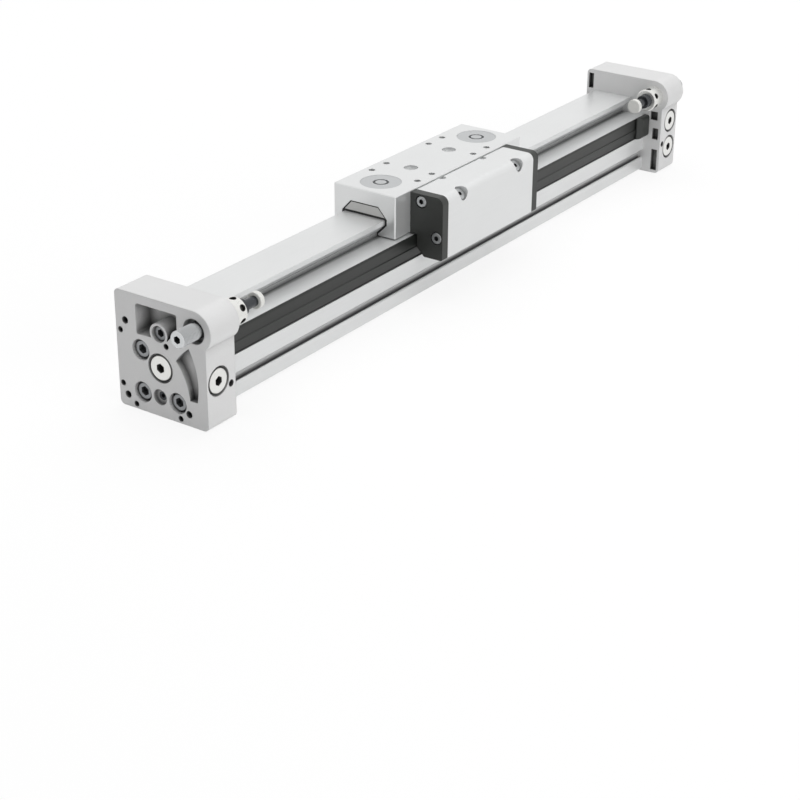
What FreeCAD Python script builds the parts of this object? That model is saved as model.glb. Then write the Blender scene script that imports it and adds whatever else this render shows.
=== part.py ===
"""Rodless pneumatic cylinder: a slotted barrel, a carriage driven through the slot, and two end caps.

Row frame: X runs along the barrel, Z is up, the origin is under the middle of the whole object.
Cross sections are given as (u, z): u is measured from the back faces of the caps towards the slot side (-Y).
Distances inside a cap are measured from its outer face inwards. Left is the -X end.
"""
import FreeCAD, Part
import math
import os
from FreeCAD import Vector

# Length along the barrel
stroke = 320.0
dead_length = 210.0  # the part of the overall length that is not stroke
rest_offset = 3.3  # the carriage stands this far right of the middle

# End caps
cap_width = 62.0
cap_height = 68.0
cap_depth = 23.4
cap_corner = 3.0
ear_radius = 11.5  # round lobe that holds the shock absorber
ear_inset = 7.5  # from the cap's slot side to the lobe's centre
pocket_depth = 11.5
pocket_rim = 5.2
pocket_left_u = 14.4
pocket_bottom_drop = 23.0  # below the cap's top, as the other drops
pocket_slope_inset = 26.0  # from the cap's slot side, as the next inset
pocket_slope_drop = 22.0
pocket_right_inset = 19.1
pocket_right_drop = 14.5
pocket_corner = 1.0
pocket_corner_back = 2.0
screw_boss_radius = 6.1
relief_depth = 4.0
relief_start = (12.0, 15.2)  # as (distance from the slot side, z), like the arcs
relief_arcs = [((14.5, 26.0), (20.7, 36.2)), ((16.5, 41.3), (11.5, 45.5)), ((6.4, 31.0), (6.9, 15.4))]
back_pocket_depth = 4.0
slot_side_pockets = [  # as ((distance from the slot side), (z from, to))
    ((8.8, 3.2), (39.4, 45.6)),
    ((6.6, 2.0), (25.2, 33.4)),
    ((6.4, 1.8), (2.2, 17.6)),
]
top_pocket_u = (1.4, 5.2)
top_pocket_drop = (13.8, 2.8)

# Barrel
profile_back_u = 0.6
profile_front_u = 48.5
profile_bottom_z = 1.2
profile_corner = 1.0
shoulder_z = 41.5
bore_diameter = 25.0
bore_u = 30.1
bore_z = 26.0
slot_width = 6.6
sensor_slot_z = 12.85
sensor_slot_mouth = 5.0
sensor_slot_width = 6.8
sensor_slot_depth = 3.3
sensor_slot_lip = 1.3
sensor_slot_chamfer = 0.75
air_channel_diameter = 5.0
air_channel_wall = 3.5

# Guide rail on top of the barrel
rail_centre_u = 21.4
rail_width = 29.5
rail_neck_width = 18.0
rail_top_z = 52.9
rail_edge_height = 3.0
rail_cavity_width = 11.0
rail_cavity_height = 5.6
rail_cavity_offset = -2.6
rail_cavity_lift = 0.5
rail_cavity_corner = 1.5

# Sealing band inside the bore and cover band outside the slot
inner_band_width = 10.0
inner_band_thickness = 0.5
inner_band_seat = 0.2  # the seat lies this far outside the bore's radius
cover_band_bottom_z = 26.8
cover_band_thickness = 1.5
band_lift_inner = 5.8
band_lift_cover = 4.1
band_gap = 0.4
bridge_gap = 0.3  # between the yoke's plate and the lifted cover band

# Cap screws, M6
screw_m6 = 6.0
screw_m6_head = 10.0
screw_m6_head_height = 6.0
screw_m6_socket = 5.0
cap_screw_counterbore = 12.0
cap_screw_sunk = 1.5
cap_screw_length = 32.0
cap_screw_hole = 6.4
cap_screw_places = [(16.8, 36.2), (16.8, 11.3), (41.2, 11.3)]
thread_play = 0.05  # radial play between a screw and its thread
thread_runout = 2.0  # a long threaded hole is this much deeper than its screw
small_thread_runout = 0.8
screw_clearance = 0.4  # a through hole is this much wider than its screw
head_clearance = 0.6

# Screw through a cap into the guide rail, M5
screw_m5 = 5.0
screw_m5_head = 8.5
screw_m5_head_height = 5.0
screw_m5_socket = 4.0
rail_screw_place = (30.0, 48.6)
rail_screw_counterbore = 9.4
rail_screw_sunk = 1.8
rail_screw_length = 30.0

# Threaded holes in the outer face of a cap, M4 and M5
face_hole_diameter = 3.4
face_hole_depth = 8.0
face_hole_places = [(3.0, 44.6), (2.7, 13.0), (11.6, 2.7), (42.9, 2.7), (34.9, 42.7)]
bracket_hole_diameter = 4.2
upper_bracket_hole = (6.7, 50.9)
foot_hole_u = 27.4
foot_hole_z = 6.9
foot_hole_spacing = 43.0

# Supply ports, G1/8
port_thread_diameter = 9.7
port_thread_depth = 9.0
port_spotface = 17.0
port_spotface_depth = 2.2
plug_collar = 14.0
plug_collar_height = 1.6
plug_shank_length = 7.0
plug_chamfer = 0.4
plug_socket = 5.0
plug_socket_depth = 4.0
seal_ring_outer = 15.6
seal_ring_inner = 10.4
end_port_u = 30.1
end_port_z = 28.8
side_port_depth = 9.6
side_port_z = 26.6
paired_port_upper_z = 36.7
paired_port_lower_z = 17.1
air_hole_diameter = 4.0
air_hole_small = 3.2
air_hole_offset = 1.0  # the drillings lie this much further inwards than the ports' axes
link_hole_lift = 1.0  # the link from the end port to the chamber lies this far above the bore's axis
channel_link_inset = 5.0  # from the inner face of the cap
channel_turn_offset = 5.8
channel_link_offset = 2.0
chamber_diameter = 9.0
chamber_floor = 11.5
dowel_hole_diameter = 4.0
dowel_hole_depth = 5.0
dowel_hole_inset = 19.7
dowel_hole_z = 21.5

# Cushioning
spigot_diameter = 8.0
spigot_bore = 4.0
spigot_reach = 15.4
spigot_seat_depth = 8.0
spigot_chamfer = 1.0
bore_boss_length = 6.0
bore_boss_play = 0.1
band_end_play = 0.1  # between the sealing band and what lies flat on it
bore_seal_section = 1.6
bore_seal_room = 0.15
bore_seal_inset = 3.1
needle_u = 28.9
needle_z = 11.5
needle_recess = 9.2
needle_recess_depth = 2.2
needle_diameter = 5.0
needle_length = 9.0
needle_sunk = 2.4
needle_socket = 2.5
needle_play = 0.05
needle_tip_diameter = 2.0
needle_tip_length = 3.0
needle_socket_depth = 3.0
needle_end_room = 0.2
needle_seat_room = 1.0

# Shock absorbers
shock_diameter = 9.5
shock_rear_reach = 13.0
shock_recess = 14.2  # round recess in the lobe's outer face
shock_recess_depth = 5.0
shock_body_reach = 17.0  # from the inner face of the cap
shock_socket = 5.0
shock_socket_depth = 4.0
shock_chamfer = 0.6
shock_nut_diameter = 15.5
shock_nut_length = 12.0
shock_nut_hole = 4.0
shock_nut_holes = 6
shock_nut_hole_at = 8.8  # from the cap's inner face
shock_nut_turn = 30.0
shock_nut_wall = 1.0
shock_nut_chamfer = 0.7
buffer_diameter = 9.8
buffer_length = 3.5
buffer_reach = 30.0
buffer_round = 0.6
plunger_diameter = 6.0
plunger_play = 0.05
plunger_travel = 8.0
plunger_inside = 14.0
plunger_end_room = 1.0

# Cover band clamps
clamp_length = 13.0
clamp_thickness = 4.0
clamp_bottom_z = 27.0
clamp_top_z = 42.5
clamp_tongue = 3.6
clamp_tongue_inset = 1.6
clamp_chamfer = 3.0
clamp_seat_play = 0.2
clamp_round = 2.0

# Piston and yoke
yoke_half = 50.0
yoke_play = 0.5
blade_half = 20.0
blade_play = 0.4
bridge_half = 22.0
ramp_inner_half = 24.0
ramp_outer_half = 40.0
ramp_step = 2.0  # the cover band's slopes start this much further out than the inner band's
piston_head_length = 24.0
piston_face_chamfer = 1.0
magnet_start = 2.0
magnet_length = 5.0
magnet_groove_radius = 9.5
wear_ring_start = 9.5
wear_ring_length = 4.0
wear_ring_groove_radius = 10.8
piston_seal_start = 17.0
piston_seal_length = 4.5
piston_seal_groove_radius = 9.6
seal_lip_groove = 1.6
seal_groove_width = 1.0
ring_play = 0.05
piston_bolt_diameter = 5.0
piston_bolt_length = 24.0
piston_bolt_head = 8.5
piston_bolt_head_height = 5.0
piston_bolt_socket = 4.0
cushion_bore_diameter = 9.4
cushion_bore_depth = 16.0

# Carriage
carriage_length = 142.0
carriage_width = 45.5
carriage_bottom_z = 42.1
carriage_top_z = 69.5
carriage_ease = 0.6
guide_play = 0.15
guide_strip_thickness = 1.2
opening_neck_gap = 1.2
opening_half = 16.6
opening_edge_z = 53.6
opening_top_half = 10.2
opening_top_z = 60.6
wiper_length = 2.2
wiper_sunk = 0.3
wiper_play = 0.25
wiper_lift = 0.2
insert_nose_inset = 0.8
insert_nose_lift = 1.4
insert_nose_sunk = 0.1
strip_lift = 0.4
adjuster_diameter = 25.4
adjuster_height = 3.0
adjuster_sunk = 0.15
adjuster_inset = 17.3  # from the carriage's end to a disc's centre
adjuster_groove_outer = 10.0
adjuster_groove_inner = 7.0
adjuster_groove_depth = 2.0
carriage_thread_diameter = 4.2
carriage_thread_depth = 8.0
outer_pattern_length = 78.4
inner_pattern_length = 47.0
pattern_width = 34.0
centring_diameter = 9.0
centring_depth = 2.1
centring_spacing = 42.8

# Driver housing at the side of the carriage
housing_inset = 15.9  # from the carriage's end to the housing's end
housing_front_u = 67.7
housing_top_z = 68.3
housing_bottom_z = 28.7
housing_bottom_u = 54.5
housing_round = 4.5
housing_wall = 2.8
housing_ease = 0.8
seam_width = 0.7  # rebate along the carriage
seam_depth = 1.6
end_plate_thickness = 6.1
plate_inner_u = 49.2
plate_chamfer_z = 34.0
plate_screw_places = [(51.9, 63.4), (63.1, 42.3)]
plate_boss_radius = 3.6
screw_m4 = 4.0
screw_m4_head = 7.0
screw_m4_head_height = 4.0
screw_m4_socket = 3.0
screw_m4_length = 14.0
plate_head_sunk = 4.2
corner_screw_spacing = 64.0
corner_screw_u = 62.9
corner_screw_z = 63.0
corner_notch_diameter = 9.4
corner_web = 3.2
corner_screw_length = 11.0
corner_screw_head = 7.6
corner_head_height = 2.6
corner_screw_socket = 2.5
edge_notch_diameter = 5.0
edge_notch_spacing = 46.0
edge_notch_u = 45.6
edge_notch_depth = 2.0
corner_notch_reach = 8.0
corner_hole_reach = 6.0
boss_skin = 0.5  # a screw boss stays this far behind the cover's outer face
plate_round = 1.0
plate_head_room = 1.0

# Driver block, between the housing and the yoke
block_half = 38.0
block_bottom_z = 42.4
block_front_u = 58.8
block_top_z = 59.2
block_land_u = 61.6
block_land_slope = 1.6
block_boss_gap = 0.5
yoke_plate_half = 22.0
yoke_plate_gap = 0.4
yoke_plate_bottom_z = 30.6
yoke_plate_top_z = 58.6
driver_screw_spacing = 28.0
driver_screw_z = 51.0
driver_screw_engagement = 5.0
driver_screw_head_room = 5.2
shoe_start = 29.0
shoe_front_u = 59.0
shoe_bottom_z = 31.6
shoe_gap = 0.3
yoke_plate_round = 0.8
yoke_blade_inset = 1.0

# Places and sizes that follow from the values above
half_length = (stroke + dead_length) / 2
cap_inner = half_length - cap_depth
carriage_back_u = rail_centre_u - carriage_width / 2
carriage_front_u = rail_centre_u + carriage_width / 2
origin_u = (carriage_back_u + housing_front_u) / 2
ear_u = cap_width - ear_inset
ear_z = cap_height - ear_radius
pocket_bottom_z = cap_height - pocket_bottom_drop
pocket_slope_z = cap_height - pocket_slope_drop
pocket_right_z = cap_height - pocket_right_drop
pocket_slope_u = cap_width - pocket_slope_inset
pocket_right_u = cap_width - pocket_right_inset
housing_length = carriage_length - 2 * housing_inset
adjuster_spacing = carriage_length - 2 * adjuster_inset
bore_radius = bore_diameter / 2
recess_floor_u = profile_front_u - cover_band_thickness
band_middle_z = (cover_band_bottom_z + shoulder_z) / 2
slot_angle = math.atan2(band_middle_z - bore_z, recess_floor_u - bore_u)
slot_length = (recess_floor_u - bore_u) / math.cos(slot_angle)
seat_radius = bore_radius + inner_band_seat
band_inner_radius = seat_radius - inner_band_thickness
flank_height = (rail_width - rail_neck_width) / 2
rail_edge_z = rail_top_z - rail_edge_height
rail_neck_z = rail_edge_z - flank_height
air_channel_z = bore_z - bore_radius - air_channel_wall - air_channel_diameter / 2
housing_half = housing_length / 2
cover_half = housing_half - end_plate_thickness
carriage_half = carriage_length / 2
yoke_radius = bore_radius - yoke_play
thread_diameter_m6 = screw_m6 + 2 * thread_play
thread_diameter_m5 = screw_m5 + 2 * thread_play
cap_screw_seat = cap_screw_sunk + screw_m6_head_height
rail_screw_seat = rail_screw_sunk + screw_m5_head_height
SIDES = {"left": -1, "right": 1}
PAST = 1.0  # a cutting tool runs this far past an open face
FAR = 90.0  # beyond every piece, for tools that clear a whole side


def at(x, u, z):
    """A point of the row frame from its section place."""
    return Vector(x, origin_u - u, z)


def outline(points, place):
    """A closed wire through points. A point is (a, b), (a, b, radius) for a rounded corner, or a pair
    ((a, b), (a, b)) for an arc that runs from the point before it through the first to the second."""
    edges = []
    start = last = None
    count = len(points)
    for i, point in enumerate(points):
        if isinstance(point[0], tuple):
            through, end = point
            edges.append(Part.Arc(place(*last), place(*through), place(*end)).toShape())
            last = end
            continue
        here = (point[0], point[1])
        entry, exit_point, middle = here, here, None
        if len(point) == 3:
            before, after = points[i - 1], points[(i + 1) % count]
            before = before[1] if isinstance(before[0], tuple) else before
            entry, middle, exit_point = rounded(before[:2], here, after[:2], point[2])
        if last is not None:
            edges.append(Part.LineSegment(place(*last), place(*entry)).toShape())
        else:
            start = entry
        if middle is not None:
            edges.append(Part.Arc(place(*entry), place(*middle), place(*exit_point)).toShape())
        last = exit_point
    if (place(*last) - place(*start)).Length > 1e-9:
        edges.append(Part.LineSegment(place(*last), place(*start)).toShape())
    return Part.Wire(edges)


def rounded(before, corner, after, radius):
    """Start, middle and end of the arc that rounds a corner."""
    to_before = Vector(before[0] - corner[0], before[1] - corner[1], 0).normalize()
    to_after = Vector(after[0] - corner[0], after[1] - corner[1], 0).normalize()
    half = to_before.getAngle(to_after) / 2
    reach = radius / math.tan(half)
    inward = (to_before + to_after).normalize()
    tip = inward * (radius / math.sin(half) - radius)
    spot = Vector(corner[0], corner[1], 0)
    return [(v.x, v.y) for v in (spot + to_before * reach, spot + tip, spot + to_after * reach)]


def prism(points, x0, x1):
    """A section (u, z) drawn out along X."""
    low, high = min(x0, x1), max(x0, x1)
    face = Part.Face(outline(points, lambda u, z: at(low, u, z)))
    return face.extrude(Vector(high - low, 0, 0))


def slot_place(r, t):
    """Section place (u, z) of a point r out from the bore's axis along the slot and t across it."""
    cos, sin = math.cos(slot_angle), math.sin(slot_angle)
    return bore_u + r * cos - t * sin, bore_z + r * sin + t * cos


def slot_prism(points, x0, x1):
    """A section (r, t) in the slot's own directions, drawn out along X."""
    return prism([slot_place(*p) for p in points], x0, x1)


def slot_box(r0, r1, half_width, x0, x1):
    corners = [(r0, -half_width), (r1, -half_width), (r1, half_width), (r0, half_width)]
    return slot_prism(corners, x0, x1)


def slot_ribbon(points, half_width):
    """A side view (x, r) drawn out across the slot."""
    face = Part.Face(outline(points, lambda x, r: at(x, *slot_place(r, -half_width))))
    width = at(0, *slot_place(0, half_width)) - at(0, *slot_place(0, -half_width))
    return face.extrude(width)


def front_ribbon(points, z0, z1):
    """A plan view (x, u) drawn out along Z."""
    face = Part.Face(outline(points, lambda x, u: at(x, u, z0)))
    return face.extrude(Vector(0, 0, z1 - z0))


def stack(origin, axis, steps):
    """Coaxial cylinders, each given as (diameter, from, to) along axis."""
    parts = [Part.makeCylinder(d / 2, b - a, origin + axis * a, axis) for d, a, b in steps]
    solid = parts[0]
    for other in parts[1:]:
        solid = solid.fuse(other)
    return solid.removeSplitter() if len(parts) > 1 else solid


def tube(origin, axis, outer, inner, start, end):
    ring = Part.makeCylinder(outer / 2, end - start, origin + axis * start, axis)
    return ring.cut(Part.makeCylinder(inner / 2, end - start, origin + axis * start, axis))


def hexagon(origin, axis, across_flats, start, end):
    """A hexagonal prism along axis, for a socket."""
    helper = Vector(0, 0, 1) if abs(axis.z) < 0.9 else Vector(1, 0, 0)
    side = axis.cross(helper).normalize()
    up = axis.cross(side).normalize()
    radius = across_flats / math.sqrt(3)
    base = origin + axis * start
    turns = [math.radians(60 * i + 30) for i in range(6)]
    corners = [base + side * (radius * math.cos(a)) + up * (radius * math.sin(a)) for a in turns]
    face = Part.Face(Part.makePolygon(corners + corners[:1]))
    return face.extrude(axis * (end - start))


def socket_screw(seat, axis, diameter, length, head, head_height, socket):
    """A cap screw: its head stands behind the seat, its shank runs along axis."""
    screw = stack(seat, axis, [(head, -head_height, 0), (diameter, 0, length)])
    rim = [e for e in screw.Edges if is_circle_at(e, seat - axis * head_height, head / 2)]
    screw = screw.makeChamfer(head * 0.05, rim)
    return screw.cut(hexagon(seat, axis, socket, -head_height - PAST, -head_height * 0.45))


def is_circle_at(edge, centre, radius):
    curve = edge.Curve
    if not isinstance(curve, Part.Circle):
        return False
    return abs(curve.Radius - radius) < 1e-4 and (curve.Center - centre).Length < 1e-4


def cut_all(solid, tools):
    for tool in tools:
        solid = solid.cut(tool)
    return solid


def write(name, *shapes):
    """One STEP file per node; several solids in one node stay separate solids."""
    solids = [solid for shape in shapes for solid in shape.Solids]
    shape = solids[0] if len(solids) == 1 else Part.makeCompound(solids)
    shape.exportStep("parts/" + name + ".step")


def from_face(side, depth):
    """X of a point inside a cap, from the cap's outer face."""
    return side * (half_length - depth)


def inward(side):
    return Vector(-side, 0, 0)


def cap_axis(side, u, z):
    """The point of a cap's outer face at (u, z)."""
    return at(side * half_length, u, z)


def band_zone(side_x, end_x, play):
    """What a round piece in the bore gives up to leave room for the flat sealing band."""
    half_width = inner_band_width / 2 + band_gap
    return slot_box(band_inner_radius - play, seat_radius + 2 * PAST, half_width, side_x, end_x)


# Barrel

def rail_points(play):
    """Half outline of the rail, as (distance from the rail's middle, z), from neck to top, grown by play."""
    neck = rail_neck_width / 2 + play
    edge = rail_width / 2 + play
    drop = play * (math.sqrt(2) - 1)
    top = rail_top_z + play
    return [(neck, rail_neck_z - drop), (edge, rail_edge_z - drop), (edge, top)]


def mirrored(half):
    """Both sides of a half outline about the rail's middle, as section places."""
    front = [(rail_centre_u + h, z) for h, z in half]
    back = [(rail_centre_u - h, z) for h, z in reversed(half)]
    return front + back


def sensor_slot():
    face_u = profile_front_u
    mouth = sensor_slot_mouth / 2
    width = sensor_slot_width / 2
    half = [
        (face_u + PAST, mouth + sensor_slot_chamfer),
        (face_u, mouth + sensor_slot_chamfer),
        (face_u - sensor_slot_chamfer, mouth),
        (face_u - sensor_slot_lip, mouth),
        (face_u - sensor_slot_lip, width),
        (face_u - sensor_slot_depth, width),
    ]
    upper = [(u, sensor_slot_z + v) for u, v in half]
    lower = [(u, sensor_slot_z - v) for u, v in reversed(half)]
    return prism(upper + lower, -cap_inner, cap_inner)


def rail_cavity():
    middle_u = rail_centre_u + rail_cavity_offset
    middle_z = (rail_neck_z + rail_edge_z) / 2 + rail_cavity_lift
    half_w = rail_cavity_width / 2
    half_h = rail_cavity_height / 2
    corner = rail_cavity_corner
    points = [
        (middle_u - half_w, middle_z - half_h, corner),
        (middle_u + half_w, middle_z - half_h, corner),
        (middle_u + half_w, middle_z + half_h, corner),
        (middle_u - half_w, middle_z + half_h, corner),
    ]
    return prism(points, -cap_inner, cap_inner)


def profile_barrel():
    neck = [(rail_neck_width / 2, shoulder_z)] + rail_points(0)
    rail = mirrored(neck)
    section = [
        (profile_back_u, profile_bottom_z, profile_corner),
        (profile_front_u, profile_bottom_z, profile_corner),
        (profile_front_u, cover_band_bottom_z),
        (recess_floor_u, cover_band_bottom_z),
        (recess_floor_u, shoulder_z),
    ] + rail + [(profile_back_u, shoulder_z, profile_corner)]
    barrel = prism(section, -cap_inner, cap_inner)
    start = at(-cap_inner, bore_u, bore_z)
    along = Vector(1, 0, 0)
    run = 2 * cap_inner
    seat_half = inner_band_width / 2 + band_gap / 2
    tools = [
        stack(start, along, [(bore_diameter, 0, run)]),
        slot_box(0, seat_radius, seat_half, -cap_inner, cap_inner),
        slot_box(0, slot_length + 2 * PAST, slot_width / 2, -cap_inner, cap_inner),
        stack(at(-cap_inner, bore_u, air_channel_z), along, [(air_channel_diameter, 0, run)]),
        sensor_slot(),
        rail_cavity(),
    ]
    thread_depth = cap_screw_length - (cap_depth - cap_screw_seat) + thread_runout
    rail_thread_depth = rail_screw_length - (cap_depth - rail_screw_seat) + thread_runout
    for side in SIDES.values():
        for u, z in cap_screw_places:
            mouth = at(side * cap_inner, u, z)
            tools.append(stack(mouth, inward(side), [(thread_diameter_m6, 0, thread_depth)]))
        mouth = at(side * cap_inner, *rail_screw_place)
        tools.append(stack(mouth, inward(side), [(thread_diameter_m5, 0, rail_thread_depth)]))
    return cut_all(barrel, tools)


# End caps

def cap_outline():
    """The cap seen from its end, with the lobe for the shock absorber at the upper slot side."""
    drop = math.sqrt(ear_radius ** 2 - (cap_width - ear_u) ** 2)
    low = math.atan2(-drop, cap_width - ear_u)
    middle = (math.pi / 2 + low) / 2
    on_arc = (ear_u + ear_radius * math.cos(middle), ear_z + ear_radius * math.sin(middle))
    return [
        (0, 0, cap_corner),
        (0, cap_height, cap_corner),
        (ear_u, cap_height),
        (on_arc, (cap_width, ear_z - drop)),
        (cap_width, 0, cap_corner),
    ]


def cap_pocket(side):
    """The cast pocket under the upper rim, less the boss of the rail screw and the shock absorber's lobe."""
    points = [
        (pocket_left_u, pocket_bottom_z, pocket_corner),
        (pocket_slope_u, pocket_slope_z),
        (pocket_right_u, pocket_right_z, pocket_corner),
        (pocket_right_u, cap_height - pocket_rim, pocket_corner),
        (pocket_left_u, cap_height - pocket_rim, pocket_corner_back),
    ]
    pocket = prism(points, from_face(side, -PAST), from_face(side, pocket_depth))
    reach = pocket_depth + 2 * PAST
    start = cap_axis(side, *rail_screw_place) - inward(side) * PAST
    boss = stack(start, inward(side), [(2 * screw_boss_radius, 0, reach)])
    return pocket.cut(boss)


def from_slot_side(spot):
    """Section place of a spot given as (distance from the cap's slot side, z)."""
    return cap_width - spot[0], spot[1]


def cap_relief(side):
    """The crescent hollow between the end port and the slot side."""
    points = [from_slot_side(relief_start)]
    points += [(from_slot_side(through), from_slot_side(end)) for through, end in relief_arcs]
    points.append(from_slot_side(relief_start))
    return prism(points, from_face(side, -PAST), from_face(side, relief_depth))


def cap_back_pockets(side):
    """Cast pockets in the inner face: beside the barrel, at the back of the rail and for the band clamp."""
    start = from_face(side, cap_depth + PAST)
    end = from_face(side, cap_depth - back_pocket_depth)
    tools = []
    sections = [tongue_section(clamp_seat_play)]
    sections += [((cap_width - a, cap_width - b), heights) for (a, b), heights in slot_side_pockets]
    sections.append((top_pocket_u, tuple(cap_height - drop for drop in top_pocket_drop)))
    for (u0, u1), (z0, z1) in sections:
        tools.append(prism([(u0, z0), (u1, z0), (u1, z1), (u0, z1)], start, end))
    return tools


def tongue_section(play):
    """The band clamp's tongue, grown by play, as ((u from, to), (z from, to))."""
    inset = clamp_tongue_inset
    u_range = (profile_front_u + inset / 2 - play, profile_front_u + clamp_thickness - inset / 2 + play)
    return u_range, (clamp_bottom_z + inset - play, clamp_top_z - inset + play)


def port_cut(face_point, axis):
    depth = port_spotface_depth
    steps = [
        (port_spotface, -PAST, depth),
        (port_thread_diameter, 0, depth + port_thread_depth),
    ]
    return stack(face_point, axis, steps)


def side_port_point(side, z):
    return at(from_face(side, side_port_depth), cap_width, z)


def back_port_point(side):
    return at(from_face(side, side_port_depth), 0, side_port_z)


def side_port_heights(side):
    """The right cap has two ports on the slot side, the left one has one."""
    return [side_port_z] if side < 0 else [paired_port_upper_z, paired_port_lower_z]


def drilling(start, end, diameter):
    along = end - start
    length = along.Length
    return Part.makeCylinder(diameter / 2, length, start, along.normalize())


def drilled_way(places, diameter):
    """Straight drillings that join one place to the next."""
    return [drilling(a, b, diameter) for a, b in zip(places, places[1:])]


def cap_passages(side):
    """Air ways inside a cap, from its ports to the bore and to the long channel under the bore."""
    port_x = from_face(side, side_port_depth + air_hole_offset)
    port_end = port_thread_depth + port_spotface_depth
    side_end = cap_width - port_end + PAST
    chamber_u = bore_u + chamber_diameter / 4
    face_x = from_face(side, cap_depth)
    link_z = bore_z + link_hole_lift
    back_way = [at(port_x, port_end - PAST, side_port_z), at(port_x, bore_u, side_port_z)]
    end_way = [cap_axis(side, bore_u, link_z), at(from_face(side, chamber_floor), bore_u, link_z)]
    chamber = [(chamber_diameter, chamber_floor, cap_depth)]
    ways = [stack(cap_axis(side, bore_u, bore_z), inward(side), chamber)]
    ways += drilled_way(back_way, air_hole_diameter)
    ways += drilled_way(end_way, air_hole_diameter)
    if side < 0:
        far_x = from_face(side, cap_depth - channel_link_inset)
        front_way = [at(port_x, side_end, side_port_z), at(port_x, bore_u, side_port_z)]
        channel_way = [
            at(face_x, bore_u, air_channel_z),
            at(far_x, bore_u, air_channel_z),
            at(far_x, bore_u, bore_z),
        ]
        ways += drilled_way(front_way, air_hole_diameter)
        ways += drilled_way(channel_way, air_hole_diameter)
    else:
        turn_u = bore_u + channel_turn_offset
        link_u = bore_u + channel_link_offset
        upper_way = [
            at(port_x, side_end, paired_port_upper_z),
            at(port_x, chamber_u, paired_port_upper_z),
            at(port_x, chamber_u, bore_z),
        ]
        lower_way = [
            at(port_x, side_end, paired_port_lower_z),
            at(port_x, turn_u, paired_port_lower_z),
            at(port_x, turn_u, air_channel_z),
            at(port_x, link_u, air_channel_z),
            at(face_x, link_u, air_channel_z),
        ]
        ways += drilled_way(upper_way, air_hole_diameter)
        ways += drilled_way(lower_way, air_hole_small)
    return ways


def end_cap(side):
    solid = prism(cap_outline(), from_face(side, 0), from_face(side, cap_depth))
    boss_diameter = bore_diameter - 2 * bore_boss_play
    boss_end = cap_depth + bore_boss_length
    boss_steps = [(boss_diameter, cap_depth - PAST, boss_end)]
    boss = stack(cap_axis(side, bore_u, bore_z), inward(side), boss_steps)
    zone = band_zone(from_face(side, cap_depth), from_face(side, boss_end + PAST), band_end_play)
    solid = solid.fuse(boss.cut(zone)).removeSplitter()

    tools = [cap_pocket(side), cap_relief(side)] + cap_back_pockets(side)
    for u, z in cap_screw_places:
        steps = [(cap_screw_counterbore, -PAST, cap_screw_seat), (cap_screw_hole, 0, cap_depth + PAST)]
        tools.append(stack(cap_axis(side, u, z), inward(side), steps))
    rail_steps = [
        (rail_screw_counterbore, -PAST, rail_screw_seat),
        (screw_m5 + screw_clearance, 0, cap_depth + PAST),
    ]
    tools.append(stack(cap_axis(side, *rail_screw_place), inward(side), rail_steps))
    for diameter, places in (
        (face_hole_diameter, face_hole_places),
        (bracket_hole_diameter, [upper_bracket_hole] + foot_holes()),
    ):
        for u, z in places:
            hole = [(diameter, -PAST, face_hole_depth)]
            tools.append(stack(cap_axis(side, u, z), inward(side), hole))
    tools.append(port_cut(cap_axis(side, end_port_u, end_port_z), inward(side)))
    tools += [port_cut(side_port_point(side, z), Vector(0, 1, 0)) for z in side_port_heights(side)]
    thread = [(port_thread_diameter, -PAST, port_thread_depth + port_spotface_depth)]
    tools.append(stack(back_port_point(side), Vector(0, -1, 0), thread))
    tools += cap_passages(side)

    spigot_seat = [(spigot_diameter + 2 * ring_play, boss_end - spigot_seat_depth, boss_end + PAST)]
    tools.append(stack(cap_axis(side, bore_u, bore_z), inward(side), spigot_seat))
    tools.append(bore_seal_groove(side))
    needle_end = needle_sunk + needle_length
    needle_room = [
        (needle_recess, -PAST, needle_recess_depth),
        (needle_diameter + 2 * needle_play, -PAST, needle_end + needle_end_room),
        (needle_tip_diameter + needle_seat_room, 0, needle_end + needle_tip_length + needle_seat_room),
    ]
    tools.append(stack(cap_axis(side, needle_u, needle_z), inward(side), needle_room))
    shock_room = [
        (shock_recess, -PAST, shock_recess_depth),
        (shock_diameter + 2 * thread_play, 0, cap_depth + PAST),
    ]
    tools.append(stack(cap_axis(side, ear_u, ear_z), inward(side), shock_room))
    dowel = at(from_face(side, dowel_hole_inset), cap_width, dowel_hole_z)
    tools.append(stack(dowel, Vector(0, 1, 0), [(dowel_hole_diameter, -PAST, dowel_hole_depth)]))
    return cut_all(solid, tools)


def foot_holes():
    return [(foot_hole_u + s * foot_hole_spacing / 2, foot_hole_z) for s in (-1, 1)]


def cap_screws(side):
    screws = []
    for u, z in cap_screw_places:
        seat = cap_axis(side, u, z) + inward(side) * cap_screw_seat
        screws.append(socket_screw(seat, inward(side), screw_m6, cap_screw_length, screw_m6_head,
                                   screw_m6_head_height, screw_m6_socket))
    return screws


def rail_screw(side):
    seat = cap_axis(side, *rail_screw_place) + inward(side) * rail_screw_seat
    return socket_screw(seat, inward(side), screw_m5, rail_screw_length, screw_m5_head,
                        screw_m5_head_height, screw_m5_socket)


def port_plug(face_point, axis):
    floor = port_spotface_depth
    seal_height = floor - plug_collar_height
    collar_start = floor - seal_height - plug_collar_height
    shank = port_thread_diameter - 2 * thread_play
    plug = stack(face_point, axis, [
        (plug_collar, collar_start, collar_start + plug_collar_height),
        (shank, collar_start, floor + plug_shank_length),
    ])
    rim = [e for e in plug.Edges if is_circle_at(e, face_point + axis * collar_start, plug_collar / 2)]
    plug = plug.makeChamfer(plug_chamfer, rim)
    socket_end = collar_start + plug_socket_depth
    return plug.cut(hexagon(face_point, axis, plug_socket, collar_start - PAST, socket_end))


def plug_seal(face_point, axis):
    floor = port_spotface_depth
    return tube(face_point, axis, seal_ring_outer, seal_ring_inner, plug_collar_height, floor)


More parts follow.
